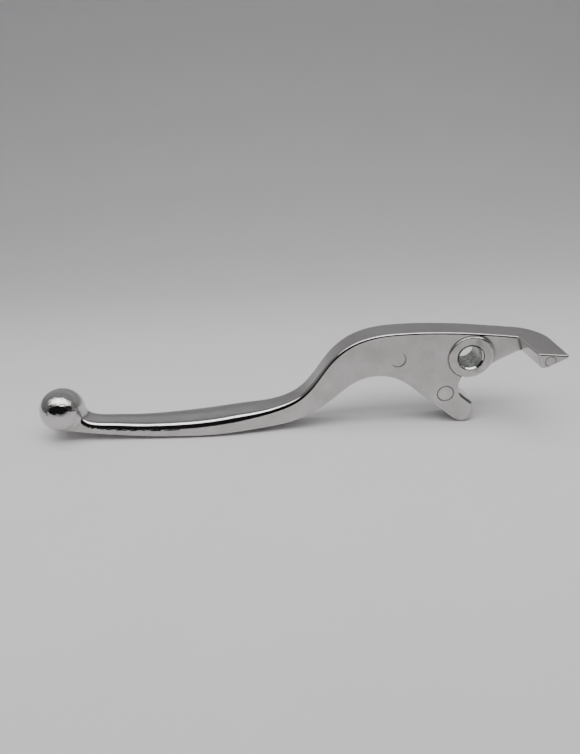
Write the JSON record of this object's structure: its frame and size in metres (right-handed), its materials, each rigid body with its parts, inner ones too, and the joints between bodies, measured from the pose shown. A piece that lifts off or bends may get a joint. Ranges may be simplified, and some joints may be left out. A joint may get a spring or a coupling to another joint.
{
  "type": "clutch lever",
  "caption": "Curved cast clutch lever with ball end, bushed pivot boss, push arm and side nose, for pulling a motorcycle clutch.",
  "frame": {"origin": "on the pivot axis, half way through the boss", "axes": "+Y along the pivot bore, away from the side that the nose points to; +X from the ball towards the nose; +Z away from the handlebar"},
  "size_m": [0.2028, 0.0315, 0.0402],
  "materials": {
    "cast_aluminium": "polished die casting",
    "bush_steel": "plain turned, dull"
  },
  "bodies": {
    "lever": {"lever_casting": "cast_aluminium"},
    "bush": {"pivot_bush": "bush_steel"}
  },
  "joints": [
    {"name": "pivot_turn", "type": "hinge", "parent": "lever", "child": "bush", "pos_m": [0, 0, 0], "axis": [0, 1, 0], "continuous": true}
  ]
}
